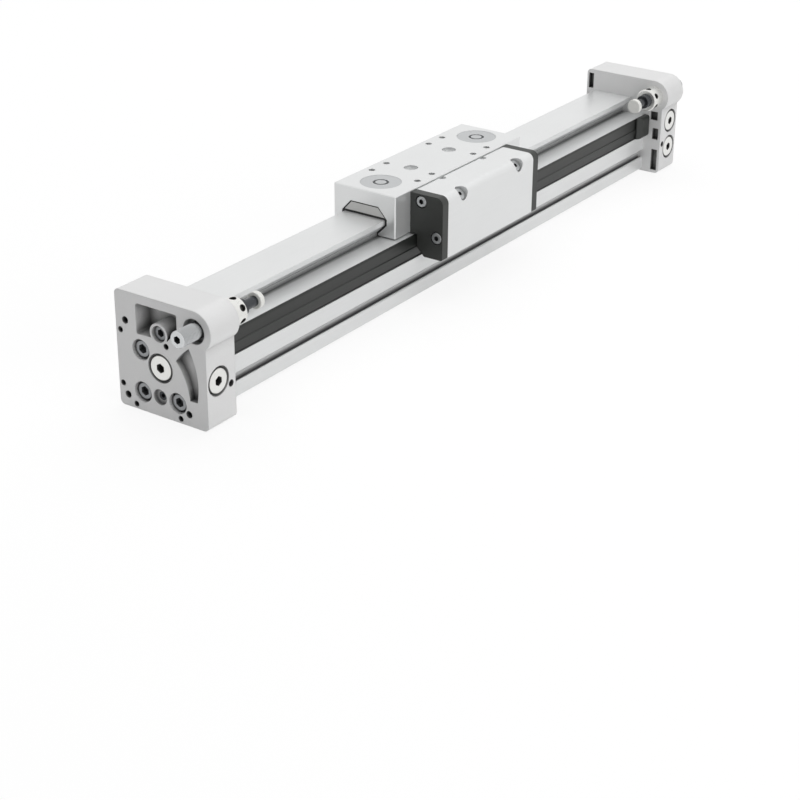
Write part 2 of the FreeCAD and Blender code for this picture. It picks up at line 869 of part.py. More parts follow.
def bore_seal_groove(side):
    middle = cap_depth + bore_seal_inset
    half = bore_seal_section / 2 + bore_seal_room
    floor_radius = bore_radius - bore_boss_play - bore_seal_section - ring_play
    centre = cap_axis(side, bore_u, bore_z)
    return tube(centre, inward(side), bore_diameter + PAST, 2 * floor_radius, middle - half, middle + half)


def bore_seal(side):
    """The O-ring on a cap's boss, flattened where the sealing band passes it."""
    section = bore_seal_section / 2
    radius = bore_radius - bore_boss_play - section
    middle = cap_depth + bore_seal_inset
    centre = cap_axis(side, bore_u, bore_z) + inward(side) * middle
    ring = Part.makeTorus(radius, section, centre, inward(side))
    reach = bore_seal_section + PAST
    return ring.cut(band_zone(centre.x - reach, centre.x + reach, band_end_play))


def cushion_spigot(side):
    """The short tube that the piston's cushion bore runs over at the end of the stroke."""
    boss_end = cap_depth + bore_boss_length
    start = boss_end - spigot_seat_depth
    axis = inward(side)
    centre = cap_axis(side, bore_u, bore_z)
    end = boss_end + spigot_reach
    body = stack(centre, axis, [(spigot_diameter, start, end)])
    tip = [e for e in body.Edges if is_circle_at(e, centre + axis * end, spigot_diameter / 2)]
    body = body.makeChamfer(spigot_chamfer, tip)
    return body.cut(stack(centre, axis, [(spigot_bore, start, end)]))


def cushion_needle(side):
    centre = cap_axis(side, needle_u, needle_z)
    axis = inward(side)
    end = needle_sunk + needle_length
    shank = stack(centre, axis, [
        (needle_diameter, needle_sunk, end),
        (needle_tip_diameter, end, end + needle_tip_length),
    ])
    socket_end = needle_sunk + needle_socket_depth
    return shank.cut(hexagon(centre, axis, needle_socket, needle_sunk - PAST, socket_end))


# Shock absorbers

def shock_body(side):
    """Threaded shock absorber, screwed through the cap's lobe, hollow for its plunger."""
    centre = cap_axis(side, ear_u, ear_z)
    axis = inward(side)
    front = cap_depth + shock_body_reach
    body = stack(centre, axis, [(shock_diameter, -shock_rear_reach, front)])
    ends = [e for e in body.Edges if isinstance(e.Curve, Part.Circle)]
    body = body.makeChamfer(shock_chamfer, ends)
    plunger_hole = plunger_diameter + 2 * plunger_play
    chamber = front - plunger_inside - plunger_travel - plunger_end_room
    body = body.cut(stack(centre, axis, [(plunger_hole, chamber, front + PAST)]))
    socket_end = shock_socket_depth - shock_rear_reach
    return body.cut(hexagon(centre, axis, shock_socket, -shock_rear_reach - PAST, socket_end))


def shock_nut(side):
    """Round lock nut with radial spanner holes, against the cap's inner face."""
    centre = cap_axis(side, ear_u, ear_z)
    axis = inward(side)
    end = cap_depth + shock_nut_length
    nut = tube(centre, axis, shock_nut_diameter, shock_diameter + 2 * thread_play, cap_depth, end)
    rim = [e for e in nut.Edges if is_circle_at(e, centre + axis * end, shock_nut_diameter / 2)]
    nut = nut.makeChamfer(shock_nut_chamfer, rim)
    middle = centre + axis * (cap_depth + shock_nut_hole_at)
    for i in range(shock_nut_holes):
        turn = math.radians(360 / shock_nut_holes * i + shock_nut_turn)
        out = Vector(0, math.cos(turn), math.sin(turn))
        inner = shock_diameter / 2 + shock_nut_wall
        nut = nut.cut(stack(middle, out, [(shock_nut_hole, inner, shock_nut_diameter)]))
    return nut


def shock_rod(side):
    front = cap_depth + shock_body_reach
    end = cap_depth + buffer_reach - buffer_length
    rod = [(plunger_diameter, front - plunger_inside, end)]
    return stack(cap_axis(side, ear_u, ear_z), inward(side), rod)


def shock_buffer(side):
    centre = cap_axis(side, ear_u, ear_z)
    axis = inward(side)
    start, end = cap_depth + buffer_reach - buffer_length, cap_depth + buffer_reach
    buffer = stack(centre, axis, [(buffer_diameter, start, end)])
    rims = [e for e in buffer.Edges if isinstance(e.Curve, Part.Circle)]
    return buffer.makeFillet(buffer_round, rims)


# Bands

def lifted(straight, lift, slope_start, slope_end, end_x, thickness, outward):
    """Side view of a band that leaves its straight run at the carriage's rest place and passes the yoke."""
    middle = rest_offset
    low = [
        (-end_x, straight),
        (middle - slope_end, straight),
        (middle - slope_start, straight + lift),
        (middle + slope_start, straight + lift),
        (middle + slope_end, straight),
        (end_x, straight),
    ]
    return low + [(x, r + outward * thickness) for x, r in reversed(low)]


def cover_ramp():
    """Where the cover band's slopes start and end, from the carriage's middle."""
    return ramp_inner_half + ramp_step, cover_half - ramp_step


def inner_band():
    """Steel sealing band: it lies on its seat in the bore and dips under the yoke's bridge."""
    points = lifted(seat_radius, -band_lift_inner, ramp_inner_half, ramp_outer_half, cap_inner,
                    inner_band_thickness, -1)
    return slot_ribbon(points, inner_band_width / 2)


def cover_band():
    """Outer band: it closes the slot and is lifted over the yoke inside the driver housing."""
    points = lifted(recess_floor_u, band_lift_cover, *cover_ramp(), cap_inner,
                    cover_band_thickness, 1)
    return front_ribbon(points, cover_band_bottom_z, shoulder_z)


def band_clamp(side):
    """Plastic block that holds the end of the cover band; its tongue sits in the cap's inner face."""
    u0, u1 = profile_front_u, profile_front_u + clamp_thickness
    z0, z1 = clamp_bottom_z, clamp_top_z
    face_x = from_face(side, cap_depth)
    end_x = from_face(side, cap_depth + clamp_length)
    body = prism([(u0, z0), (u1, z0, clamp_round), (u1, z1, clamp_round), (u0, z1)], face_x, end_x)
    past_x = from_face(side, cap_depth + clamp_length + PAST)
    slope = front_ribbon([
        (from_face(side, cap_depth + clamp_length - clamp_chamfer - PAST), u1 + PAST),
        (past_x, u1 + PAST),
        (past_x, u1 - clamp_chamfer - PAST),
    ], z0 - PAST, z1 + PAST)
    (tongue_u0, tongue_u1), (tongue_z0, tongue_z1) = tongue_section(0)
    corners = [(tongue_u0, tongue_z0), (tongue_u1, tongue_z0), (tongue_u1, tongue_z1), (tongue_u0, tongue_z1)]
    tongue = prism(corners, from_face(side, cap_depth - clamp_tongue), from_face(side, cap_depth + PAST))
    return body.cut(slope).fuse(tongue).removeSplitter()


# Carriage

def opening_half_outline():
    """Half outline of the carriage's channel over the rail, from the bottom up."""
    offset = (guide_play + guide_strip_thickness) * math.sqrt(2)
    neck = rail_neck_width / 2 + opening_neck_gap
    flank = rail_neck_width / 2 + offset
    return [
        (neck, carriage_bottom_z - PAST),
        (neck, rail_neck_z + neck - flank),
        (opening_half, rail_neck_z + opening_half - flank),
        (opening_half, opening_edge_z),
        (opening_top_half, opening_top_z),
    ]


def carriage_pattern(length, width):
    spots = [(sx * length / 2, sy * width / 2) for sx in (-1, 1) for sy in (-1, 1)]
    return [(rest_offset + x, rail_centre_u + y) for x, y in spots]


def carriage():
    x0, x1 = rest_offset - carriage_half, rest_offset + carriage_half
    points = [
        (carriage_back_u, carriage_bottom_z),
        (carriage_front_u, carriage_bottom_z),
        (carriage_front_u, carriage_top_z),
        (carriage_back_u, carriage_top_z),
    ]
    body = prism(points, x0, x1)
    body = body.makeChamfer(carriage_ease, body.Edges)
    down = Vector(0, 0, -1)
    tools = [prism(mirrored(opening_half_outline()), x0 - PAST, x1 + PAST)]
    thread = [(carriage_thread_diameter, -PAST, carriage_thread_depth)]
    for pattern in (outer_pattern_length, inner_pattern_length):
        for x, u in carriage_pattern(pattern, pattern_width):
            tools.append(stack(at(x, u, carriage_top_z), down, thread))
    for side in SIDES.values():
        centring = at(rest_offset + side * centring_spacing / 2, rail_centre_u, carriage_top_z)
        tools.append(stack(centring, down, [(centring_diameter, -PAST, centring_depth)] + thread))
        seat = at(rest_offset + side * adjuster_spacing / 2, rail_centre_u, carriage_top_z)
        depth = adjuster_sunk + adjuster_height
        tools.append(stack(seat, down, [(adjuster_diameter + 2 * ring_play, -PAST, depth)]))
    for x in driver_screw_xs():
        mouth = at(x, carriage_front_u, driver_screw_z)
        thread_end = driver_screw_engagement + small_thread_runout
        tools.append(stack(mouth, Vector(0, 1, 0), [(screw_m5 + 2 * thread_play, -PAST, thread_end)]))
    return cut_all(body, tools)


def guide_insert():
    """Plastic slide block above the rail; its ends show through the wipers."""
    half = [
        (opening_half, rail_top_z + guide_play),
        (opening_half, opening_edge_z),
        (opening_top_half, opening_top_z),
    ]
    reach = carriage_half - wiper_length - wiper_sunk
    block = prism(mirrored(half), rest_offset - reach, rest_offset + reach)
    nose_reach = carriage_half - wiper_sunk - insert_nose_sunk
    nose = prism(mirrored(nose_half_outline(0)), rest_offset - nose_reach, rest_offset + nose_reach)
    return block.fuse(nose).removeSplitter()


def nose_half_outline(play):
    """Half outline of the slide block's end, inset from the channel's slanted side."""
    run, rise = opening_half - opening_top_half, opening_top_z - opening_edge_z
    slant = math.hypot(run, rise)
    inset = insert_nose_inset - play
    low_z = rail_top_z + insert_nose_lift - play
    top_z = opening_top_z - inset
    start_h = opening_half - inset * rise / slant
    start_z = opening_edge_z - inset * run / slant
    return [(start_h - (z - start_z) * run / rise, z) for z in (low_z, top_z)]


def guide_strip(face):
    """Plastic strip between a flank of the rail and the carriage: face is 1 on the slot side."""
    play = guide_play * math.sqrt(2)
    offset = (guide_play + guide_strip_thickness) * math.sqrt(2)
    neck = rail_neck_width / 2
    low = rail_neck_z + strip_lift
    inner_edge = rail_width / 2 + guide_play
    half = [
        (neck + play + low - rail_neck_z, low),
        (inner_edge, inner_edge - neck - play + rail_neck_z),
        (inner_edge, rail_top_z),
        (opening_half, rail_top_z),
        (opening_half, opening_half - neck - offset + rail_neck_z),
        (neck + offset + low - rail_neck_z, low),
    ]
    points = [(rail_centre_u + face * h, z) for h, z in half]
    reach = carriage_half - wiper_length - wiper_sunk
    return prism(points, rest_offset - reach, rest_offset + reach)


def end_wiper(side):
    """Rubber frame at a carriage end, round the rail and the slide block."""
    outer = rest_offset + side * (carriage_half - wiper_sunk)
    inner = outer - side * wiper_length
    half = opening_half_outline()
    half[0] = (half[0][0], carriage_bottom_z + wiper_lift)
    frame = prism(mirrored(half), inner, outer)
    rail = [(rail_neck_width / 2 + wiper_play, carriage_bottom_z - PAST)] + rail_points(wiper_play)
    past = (inner - side * PAST, outer + side * PAST)
    frame = frame.cut(prism(mirrored(rail), *past))
    return frame.cut(prism(mirrored(nose_half_outline(0)), *past))


def guide_adjusters():
    """Round adjusting discs, each with a ring groove about its middle."""
    discs = []
    down = Vector(0, 0, -1)
    for side in SIDES.values():
        x = rest_offset + side * adjuster_spacing / 2
        centre = at(x, rail_centre_u, carriage_top_z - adjuster_sunk)
        disc = stack(centre, down, [(adjuster_diameter, 0, adjuster_height)])
        groove = tube(centre, down, adjuster_groove_outer, adjuster_groove_inner, -PAST, adjuster_groove_depth)
        discs.append(disc.cut(groove))
    return discs


# Piston and yoke

def driver_screw_xs():
    return [rest_offset + s * driver_screw_spacing / 2 for s in (-1, 1)]


def yoke_tunnel():
    """Side view (x, r) of the way that the sealing band takes through the yoke, with its gaps."""
    straight = band_inner_radius - band_gap
    low = straight - band_lift_inner
    roof = low + inner_band_thickness + 2 * band_gap
    past = seat_radius + 2 * PAST
    half = [
        (bridge_half, roof),
        (bridge_half, past),
        (yoke_half + PAST, past),
        (yoke_half + PAST, straight),
        (ramp_outer_half, straight),
        (ramp_inner_half, low),
    ]
    right = [(rest_offset + x, r) for x, r in half]
    left = [(rest_offset - x, r) for x, r in reversed(half)]
    return right + left


def piston_yoke():
    """The yoke: a round core in the bore, a blade through the slot and a plate under the cover band."""
    x0, x1 = rest_offset - yoke_half, rest_offset + yoke_half
    along = Vector(1, 0, 0)
    core = stack(at(x0, bore_u, bore_z), along, [(2 * yoke_radius, 0, 2 * yoke_half)])
    core = core.cut(slot_ribbon(yoke_tunnel(), inner_band_width / 2 + band_gap))
    bridge_bottom = band_inner_radius - band_lift_inner + inner_band_thickness + band_gap
    x_range = (rest_offset - blade_half, rest_offset + blade_half)
    blade = slot_box(bridge_bottom + yoke_blade_inset, slot_length + bore_radius, slot_width / 2 - blade_play,
                     *x_range)
    front = recess_floor_u + band_lift_cover - bridge_gap
    past_front = prism([(front, 0), (FAR, 0), (FAR, FAR), (front, FAR)], x0, x1)
    plate_back = recess_floor_u + yoke_plate_gap
    plate = prism([
        (plate_back, yoke_plate_bottom_z, yoke_plate_round),
        (front, yoke_plate_bottom_z, yoke_plate_round),
        (front, yoke_plate_top_z),
        (carriage_front_u, yoke_plate_top_z),
        (carriage_front_u, block_bottom_z),
        (plate_back, block_bottom_z),
    ], rest_offset - yoke_plate_half, rest_offset + yoke_plate_half)
    yoke = core.fuse(blade.cut(past_front)).fuse(plate).removeSplitter()
    bolt_hole = piston_bolt_diameter + 2 * thread_play
    depth = piston_bolt_length - (piston_head_length - cushion_bore_depth) + small_thread_runout
    tools = [
        stack(at(x0, bore_u, bore_z), along, [(bolt_hole, -PAST, depth)]),
        stack(at(x1, bore_u, bore_z), -along, [(bolt_hole, -PAST, depth)]),
    ]
    for x in driver_screw_xs():
        hole = [(screw_m5 + screw_clearance, -PAST, front - carriage_front_u + PAST)]
        tools.append(stack(at(x, front, driver_screw_z), Vector(0, 1, 0), hole))
    return cut_all(yoke, tools)


def piston_place(side, distance):
    """A point on the bore's axis, so far out from the yoke's end face."""
    return at(rest_offset + side * (yoke_half + distance), bore_u, bore_z)


def piston_head(side):
    axis = Vector(side, 0, 0)
    base = piston_place(side, 0)
    head = stack(base, axis, [(2 * yoke_radius, 0, piston_head_length)])
    rim = [e for e in head.Edges if is_circle_at(e, base + axis * piston_head_length, yoke_radius)]
    head = head.makeChamfer(piston_face_chamfer, rim)
    grooves = [
        (magnet_start, magnet_length, magnet_groove_radius),
        (wear_ring_start, wear_ring_length, wear_ring_groove_radius),
        (piston_seal_start, piston_seal_length, piston_seal_groove_radius),
    ]
    tools = [tube(base, axis, bore_diameter, 2 * r, a, a + length) for a, length, r in grooves]
    tools.append(stack(base, axis, [
        (piston_bolt_diameter + screw_clearance, -PAST, piston_head_length),
        (cushion_bore_diameter, piston_head_length - cushion_bore_depth, piston_head_length + PAST),
    ]))
    end = base.x + side * (piston_head_length + PAST)
    tools.append(band_zone(base.x - side * PAST, end, band_gap))
    return cut_all(head, tools)


def piston_ring(side, start, length, inner_radius, outer_radius, lip=0.0):
    """A ring in its groove, flat where the sealing band lies. A lip opens it to the pressure side."""
    axis = Vector(side, 0, 0)
    base = piston_place(side, 0)
    ring = tube(base, axis, 2 * outer_radius, 2 * (inner_radius + ring_play), start, start + length)
    if lip:
        middle = (inner_radius + outer_radius) / 2
        groove = (2 * middle + seal_groove_width, 2 * middle - seal_groove_width)
        ring = ring.cut(tube(base, axis, *groove, start + length - lip, start + length))
    low, high = base.x + side * (start - PAST), base.x + side * (start + length + PAST)
    return ring.cut(band_zone(low, high, band_end_play if outer_radius > band_inner_radius else band_gap))


def piston_bolt(side):
    """Bolt that holds a piston head on the yoke, sunk in the cushion bore."""
    seat = piston_place(side, piston_head_length - cushion_bore_depth)
    return socket_screw(seat, Vector(-side, 0, 0), piston_bolt_diameter, piston_bolt_length,
                        piston_bolt_head, piston_bolt_head_height, piston_bolt_socket)


# Driver housing

def corner_point(distance):
    """Section place on the axis of a corner screw, so far outwards from the screw's seat."""
    step = distance / math.sqrt(2)
    return corner_screw_u + step, corner_screw_z + step


def driver_block():
    """Block that ties the yoke to the carriage and takes the housing's corner screws."""
    web = corner_screw_u + corner_screw_z - corner_web * math.sqrt(2)
    upper_boss, lower_boss = plate_screw_places
    clear_u = upper_boss[0] + plate_boss_radius + block_boss_gap
    clear_z = lower_boss[1] + plate_boss_radius + block_boss_gap
    back = recess_floor_u + band_lift_cover - bridge_gap
    points = [
        (back, block_bottom_z),
        (block_front_u, block_bottom_z),
        (block_front_u, clear_z),
        (block_land_u, clear_z + block_land_u - block_front_u),
        (block_land_u, web - block_land_u),
        (clear_u + block_land_slope, web - clear_u - block_land_slope),
        (clear_u, web - clear_u - 2 * block_land_slope),
        (clear_u, block_top_z),
        (back, block_top_z),
    ]
    block = prism(points, rest_offset - block_half, rest_offset + block_half)
    inward_y = Vector(0, 1, 0)
    tools = []
    for x in driver_screw_xs():
        mouth = at(x, block_land_u, driver_screw_z)
        tools.append(stack(mouth, inward_y, [
            (screw_m5_head + head_clearance, -PAST, driver_screw_head_room + block_land_u - block_front_u),
            (screw_m5 + screw_clearance, 0, block_land_u - back + PAST),
        ]))
    for side in SIDES.values():
        mouth = at(rest_offset + side * corner_screw_spacing / 2, *corner_point(-corner_web))
        thread_end = corner_screw_length - corner_web + small_thread_runout
        thread = [(screw_m4 + 2 * thread_play, -PAST, thread_end)]
        tools.append(stack(mouth, corner_axis(), thread))
    return cut_all(block, tools)


def corner_axis():
    """Direction of a corner screw's shank: down and back at 45 degrees."""
    return Vector(0, 1, -1).normalize()


def driver_screws():
    """Screws through the block and the yoke into the carriage's side."""
    seat_u = block_front_u - driver_screw_head_room
    length = seat_u - carriage_front_u + driver_screw_engagement
    screws = []
    for x in driver_screw_xs():
        screws.append(socket_screw(at(x, seat_u, driver_screw_z), Vector(0, 1, 0), screw_m5, length,
                                   screw_m5_head, screw_m5_head_height, screw_m5_socket))
    return screws


def corner_screw(side):
    seat = at(rest_offset + side * corner_screw_spacing / 2, corner_screw_u, corner_screw_z)
    return socket_screw(seat, corner_axis(), screw_m4, corner_screw_length, corner_screw_head,
                        corner_head_height, corner_screw_socket)


def driver_cover():
    """Extruded aluminium cover with screw channels in its corners and oblique seats for two screws."""
    wall = housing_wall
    web = corner_screw_u + corner_screw_z - corner_web * math.sqrt(2)
    inner_u, inner_z = housing_front_u - wall, housing_top_z - wall
    seam_u = carriage_front_u + seam_width
    points = [
        (carriage_front_u, housing_top_z - seam_depth),
        (seam_u, housing_top_z - seam_depth),
        (seam_u, housing_top_z),
        (housing_front_u, housing_top_z, housing_round),
        (housing_front_u, housing_bottom_z, housing_ease),
        (housing_bottom_u, housing_bottom_z, housing_ease),
        (housing_bottom_u, housing_bottom_z + wall),
        (inner_u, housing_bottom_z + wall),
        (inner_u, web - inner_u),
        (web - inner_z, inner_z),
        (carriage_front_u, inner_z),
    ]
    x0, x1 = rest_offset - cover_half, rest_offset + cover_half
    cover = prism(points, x0, x1)
    along = Vector(1, 0, 0)
    for u, z in plate_screw_places:
        boss = stack(at(x0, u, z), along, [(2 * plate_boss_radius, 0, 2 * cover_half)])
        skin_u = housing_front_u - boss_skin
        past = prism([(skin_u, 0), (FAR, 0), (FAR, FAR), (skin_u, FAR)], x0, x1)
        cover = cover.fuse(boss.cut(past))
    cover = cover.removeSplitter()
    tools = []
    channel = [(screw_m4 + 2 * thread_play, -PAST, 2 * cover_half + PAST)]
    for u, z in plate_screw_places:
        tools.append(stack(at(x0, u, z), along, channel))
    for side in SIDES.values():
        seat = at(rest_offset + side * corner_screw_spacing / 2, corner_screw_u, corner_screw_z)
        tools.append(stack(seat, corner_axis(), [
            (corner_notch_diameter, -corner_notch_reach, 0),
            (screw_m4 + screw_clearance, 0, corner_hole_reach),
        ]))
        notch = at(rest_offset + side * edge_notch_spacing / 2, edge_notch_u, housing_top_z)
        tools.append(stack(notch, Vector(0, 0, -1), [(edge_notch_diameter, -PAST, edge_notch_depth)]))
    return cut_all(cover, tools)


def plate_x(side, depth):
    """X inside an end plate, from its outer face."""
    return rest_offset + side * (housing_half - depth)


def end_plate(side):
    points = [
        (carriage_front_u, housing_top_z),
        (housing_front_u, housing_top_z, housing_round),
        (housing_front_u, housing_bottom_z, plate_round),
        (housing_bottom_u, housing_bottom_z),
        (plate_inner_u, plate_chamfer_z),
        (plate_inner_u, carriage_bottom_z),
        (carriage_front_u, carriage_bottom_z),
    ]
    plate = prism(points, plate_x(side, 0), plate_x(side, end_plate_thickness))
    for u, z in plate_screw_places:
        steps = [
            (screw_m4_head + plate_head_room, -PAST, plate_head_sunk),
            (screw_m4 + screw_clearance, 0, end_plate_thickness + PAST),
        ]
        plate = plate.cut(stack(at(plate_x(side, 0), u, z), Vector(-side, 0, 0), steps))
    return plate


def plate_screws(side):
    screws = []
    for u, z in plate_screw_places:
        seat = at(plate_x(side, plate_head_sunk), u, z)
        screws.append(socket_screw(seat, Vector(-side, 0, 0), screw_m4, screw_m4_length, screw_m4_head,
                                   screw_m4_head_height, screw_m4_socket))
    return screws


def band_shoe(side):
    """Plastic shoe that presses the cover band back into its recess behind the yoke."""
    outer_x = cover_half
    ramp_in, ramp_out = cover_ramp()
    band_face = recess_floor_u + cover_band_thickness + shoe_gap
    slope = band_lift_cover / (ramp_out - ramp_in)
    high_at_start = band_face + slope * (ramp_out - shoe_start)
    points = [
        (rest_offset + side * shoe_start, high_at_start),
        (rest_offset + side * ramp_out, band_face),
        (rest_offset + side * outer_x, band_face),
        (rest_offset + side * outer_x, shoe_front_u),
        (rest_offset + side * shoe_start, shoe_front_u),
    ]
    return front_ribbon(points, shoe_bottom_z, block_bottom_z)


def main():
    os.makedirs("parts", exist_ok=True)
    write("profile_barrel", profile_barrel())
    write("inner_band", inner_band())
    write("cover_band", cover_band())
    for name, side in SIDES.items():
        write("end_cap_" + name, end_cap(side))
        write("cap_screws_" + name, *cap_screws(side))
        write("rail_screw_" + name, rail_screw(side))
        end_point = cap_axis(side, end_port_u, end_port_z)
        write("end_port_plug_" + name, port_plug(end_point, inward(side)))
        side_points = [side_port_point(side, z) for z in side_port_heights(side)]
        to_back = Vector(0, 1, 0)
        write("side_port_plug_" + name, *[port_plug(point, to_back) for point in side_points])
        seals = [plug_seal(point, to_back) for point in side_points]
        write("plug_seals_" + name, plug_seal(end_point, inward(side)), *seals)
        write("bore_seal_" + name, bore_seal(side))
        write("cushion_spigot_" + name, cushion_spigot(side))
        write("cushion_needle_" + name, cushion_needle(side))
        write("shock_body_" + name, shock_body(side))
        write("shock_nut_" + name, shock_nut(side))
        write("shock_rod_" + name, shock_rod(side))
        write("shock_buffer_" + name, shock_buffer(side))
        write("band_clamp_" + name, band_clamp(side))
        write("end_wiper_" + name, end_wiper(side))
        write("piston_head_" + name, piston_head(side))
        seal_radius = bore_radius - ring_play
        write("piston_seal_" + name, piston_ring(side, piston_seal_start, piston_seal_length,
                                                 piston_seal_groove_radius, seal_radius, seal_lip_groove))
        write("wear_ring_" + name, piston_ring(side, wear_ring_start, wear_ring_length,
                                               wear_ring_groove_radius, seal_radius))
        write("piston_magnet_" + name, piston_ring(side, magnet_start, magnet_length,
                                                   magnet_groove_radius, yoke_radius - 0.1))
        write("piston_bolt_" + name, piston_bolt(side))
        write("end_plate_" + name, end_plate(side))
        write("end_plate_screws_" + name, *plate_screws(side))
        write("band_shoe_" + name, band_shoe(side))
    write("carriage", carriage())
    write("guide_insert", guide_insert())
    write("guide_strip_front", guide_strip(1))
    write("guide_strip_back", guide_strip(-1))
    write("guide_adjusters", *guide_adjusters())
    write("piston_yoke", piston_yoke())
    write("driver_block", driver_block())
    write("driver_screws", *driver_screws())
    write("driver_cover", driver_cover())
    write("cover_screws", corner_screw(-1), corner_screw(1))


main()
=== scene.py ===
"""Finishes a rodless pneumatic cylinder for a studio picture: its surfaces, three pieces and the stage."""
import math

import bmesh
import bpy
from bpy.props import FloatProperty, FloatVectorProperty, IntProperty, PointerProperty
from mathutils import Matrix, Vector


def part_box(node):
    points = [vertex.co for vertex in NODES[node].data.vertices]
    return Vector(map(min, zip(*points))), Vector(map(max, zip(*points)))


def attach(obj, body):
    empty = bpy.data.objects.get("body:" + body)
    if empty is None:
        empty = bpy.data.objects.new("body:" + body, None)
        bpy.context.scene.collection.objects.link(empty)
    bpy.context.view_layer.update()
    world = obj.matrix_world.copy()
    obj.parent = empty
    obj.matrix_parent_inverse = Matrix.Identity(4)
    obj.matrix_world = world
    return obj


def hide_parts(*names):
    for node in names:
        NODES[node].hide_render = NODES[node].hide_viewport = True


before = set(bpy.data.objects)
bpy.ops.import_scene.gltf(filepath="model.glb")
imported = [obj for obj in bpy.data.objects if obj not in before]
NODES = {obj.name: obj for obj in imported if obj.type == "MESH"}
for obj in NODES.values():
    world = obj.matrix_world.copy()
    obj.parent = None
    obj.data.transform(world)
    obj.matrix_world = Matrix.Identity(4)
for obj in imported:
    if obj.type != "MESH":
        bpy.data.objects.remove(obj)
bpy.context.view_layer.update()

bl_info = {
    "name": "Rodless pneumatic cylinder",
    "version": (1, 0, 0),
    "blender": (4, 5, 0),
    "location": "View3D > Sidebar > Cylinder",
    "description": "Finishes the cylinder's pieces and sets up the studio",
    "category": "Object",
}

MM = 0.001
ENDS = {"left": -1, "right": 1}
# Every finish has slow changes of tone this wide, besides its own grain.
PATCH_MM = 35.0
# Two noises added together lie mostly between these sums.
LOW_SUM, HIGH_SUM = 0.6, 1.4


def hex_colour(code):
    """Linear colour of an sRGB hex value such as #C8C9CA."""
    channels = [int(code[i:i + 2], 16) / 255 for i in (1, 3, 5)]
    return tuple(c / 12.92 if c <= 0.04045 else ((c + 0.055) / 1.055) ** 2.4 for c in channels)


def colour_setting(name, description, code):
    return FloatVectorProperty(name=name, description=description, subtype="COLOR", size=3,
                               min=0.0, max=1.0, default=hex_colour(code))


class CylinderColours(bpy.types.PropertyGroup):
    extrusion: colour_setting("Extrusion", "Clear anodised barrel", "#DFE0E0")
    casting: colour_setting("Casting", "Blasted die-cast end caps", "#DEDEDE")
    carriage: colour_setting("Carriage", "Clear anodised carriage and cover", "#E1E2E2")
    machined: colour_setting("Machined", "Bare machined aluminium inside", "#C4C5C6")
    plated: colour_setting("Zinc plate", "Zinc plated steel screws", "#B4B6B7")
    phosphated: colour_setting("Phosphated steel", "Screws of the end caps", "#9A9C9E")
    nickel: colour_setting("Nickel", "Nickel plated plugs and lock nuts", "#E6E6E3")
    nickelled: colour_setting("Nickelled steel", "Shock absorber bodies", "#CDCFD0")
    hardened: colour_setting("Bright steel", "Adjusting discs in the carriage", "#BEC0C1")
    blackened: colour_setting("Blackened steel", "Shock absorber rods and cushioning needles", "#45474A")
    band: colour_setting("Cover band", "Extruded polyurethane cover band", "#1A1C1A")
    plate: colour_setting("End plates", "Glass-filled nylon plates and clamps", "#2C2E2C")
    acetal: colour_setting("Acetal", "Light acetal slide pieces", "#D6D6D4")
    dark_acetal: colour_setting("Dark acetal", "Dark acetal guide strips", "#26272A")
    buffer: colour_setting("Buffer", "Moulded polyurethane buffers", "#E4E4E0")
    brass: colour_setting("Brass", "Turned brass cushioning spigots", "#B79A5C")
    rubber: colour_setting("Rubber", "Nitrile rubber seals and wipers", "#1C1C1D")
    spring_steel: colour_setting("Spring steel", "Rolled steel sealing band", "#A3A5A7")
    magnet: colour_setting("Magnet", "Plastic bonded magnet rings", "#3B3837")


class CylinderSizes(bpy.types.PropertyGroup):
    band_ridge: FloatProperty(
        name="Band ridge", description="How far the cover band's middle stands out", default=0.35 * MM,
        min=0.0, max=1.0 * MM, unit="LENGTH")
    band_groove: FloatProperty(
        name="Band groove", description="Depth of the grooves along the cover band", default=0.5 * MM,
        min=0.0, max=1.0 * MM, unit="LENGTH")
    thread_pitch: FloatProperty(
        name="Thread pitch", description="Pitch of the shock absorber's thread", default=1.0 * MM,
        min=0.5 * MM, max=2.0 * MM, unit="LENGTH")
    thread_depth: FloatProperty(
        name="Thread depth", description="Depth of the shock absorber's thread", default=0.35 * MM,
        min=0.0, max=0.6 * MM, unit="LENGTH")
    socket_width: FloatProperty(
        name="Socket width", description="Hex socket in a shock absorber's rear end, across flats",
        default=4.0 * MM, min=2.0 * MM, max=6.0 * MM, unit="LENGTH")
    socket_depth: FloatProperty(
        name="Socket depth", description="Depth of that hex socket", default=4.0 * MM, min=1.0 * MM,
        max=6.0 * MM, unit="LENGTH")
    rod_room: FloatProperty(
        name="Rod room", description="Free depth behind a shock absorber's rod", default=9.0 * MM,
        min=8.0 * MM, max=12.0 * MM, unit="LENGTH")
    turning_segments: IntProperty(
        name="Turning segments", description="Facets round a turned piece", default=64, min=12, max=128)
    edge_round: FloatProperty(
        name="Edge round", description="Radius that light sees on an aluminium edge", default=0.35 * MM,
        min=0.0, max=1.0 * MM, unit="LENGTH")


def colours():
    return bpy.context.scene.cylinder_colours


def sizes():
    return bpy.context.scene.cylinder_sizes


def add_node(tree, kind, settings=None, values=None, links=None):
    """Adds a shader node with its settings, its plain socket values and its links."""
    new = tree.nodes.new(kind)
    for name, value in (settings or {}).items():
        setattr(new, name, value)
    for socket, value in (values or {}).items():
        new.inputs[socket].default_value = value
    for socket, source in (links or {}).items():
        tree.links.new(source, new.inputs[socket])
    return new


def grain_size(size_mm):
    """Noise scale, per metre, whose grains are about this many millimetres wide."""
    return 1.0 / (size_mm * MM)


